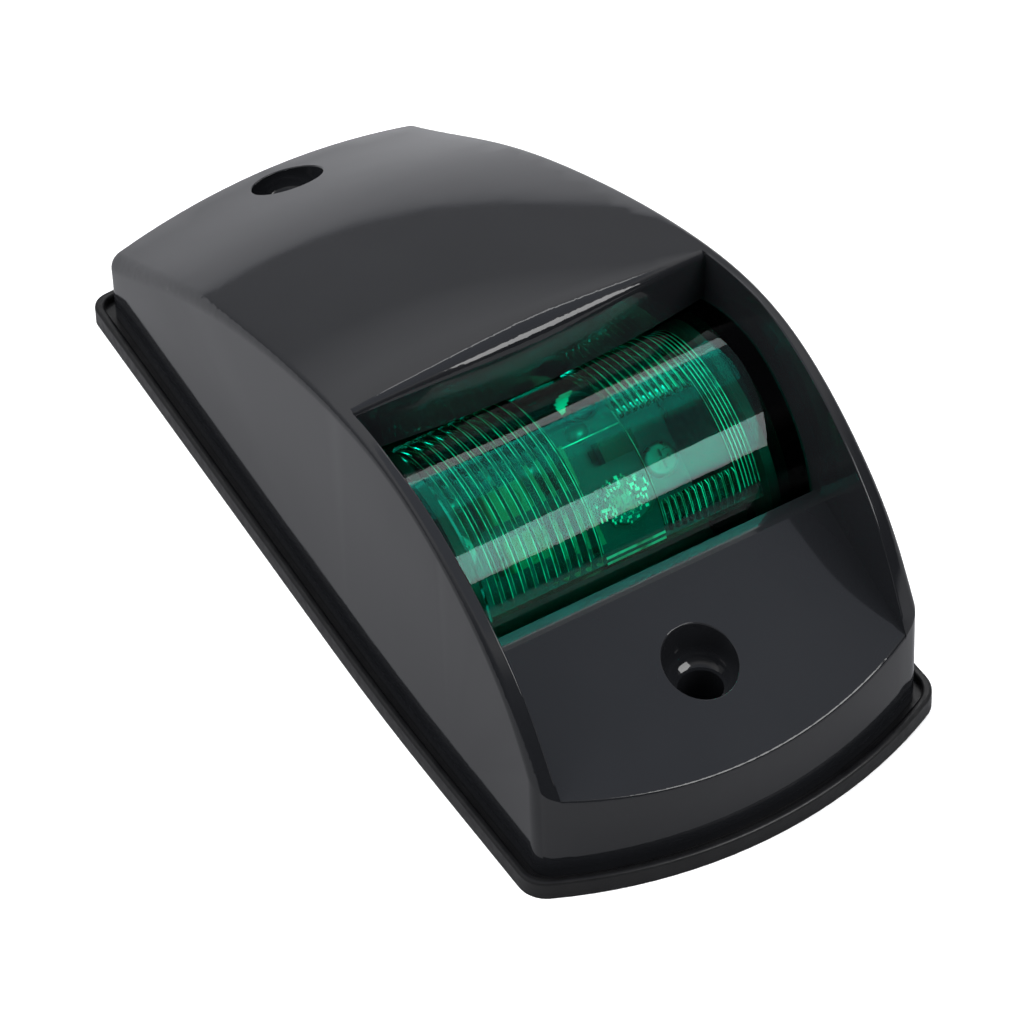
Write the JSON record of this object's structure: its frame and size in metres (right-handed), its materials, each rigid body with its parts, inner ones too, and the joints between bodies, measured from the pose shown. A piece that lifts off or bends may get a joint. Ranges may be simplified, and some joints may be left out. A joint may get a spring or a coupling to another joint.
{
  "type": "navigation light",
  "caption": "Surface-mounted boat navigation light: arched black housing with side fins, green half-round lens in a front recess, base gasket and two screw holes.",
  "frame": {"origin": "middle of the underside of the base gasket, where the light meets the boat", "axes": "+Z away from the mounting surface, +Y towards the closed rear end (the lens looks towards -Y), +X across the light"},
  "size_m": [0.0556, 0.1173, 0.0427],
  "materials": {
    "gasket_rubber": "matt",
    "housing_black": "gloss",
    "plate_black": "satin",
    "lens_green": "clear, tinted green",
    "seal_rubber": "matt",
    "optic_clear": "clear",
    "screen_black": "matt",
    "sink_aluminium": "brushed",
    "screw_steel": "machined",
    "pad_grey": "matt",
    "board_mask": "white solder mask",
    "led_body": "moulded with phosphor",
    "chip_black": "matt",
    "resistor_dark": "glazed",
    "can_aluminium": "drawn",
    "solder": "bright"
  },
  "bodies": {
    "root": {"base_gasket": "gasket_rubber", "housing": "housing_black", "back_plate": "plate_black", "plate_screws": "screw_steel", "lens": "lens_green", "lens_seal": "seal_rubber", "fresnel_optic": "optic_clear", "cutoff_screen_left": "screen_black", "cutoff_screen_right": "screen_black", "heat_sink": "sink_aluminium", "bracket_screws": "screw_steel", "thermal_pad": "pad_grey", "circuit_board": "board_mask", "board_screws": "screw_steel", "led_upper": "led_body", "led_lower": "led_body", "driver_chip": "chip_black", "reverse_diode": "chip_black", "resistor_left": "resistor_dark", "resistor_right": "resistor_dark", "capacitor": "can_aluminium", "solder_pads": "solder", "cable_grommet": "gasket_rubber"}
  },
  "joints": []
}
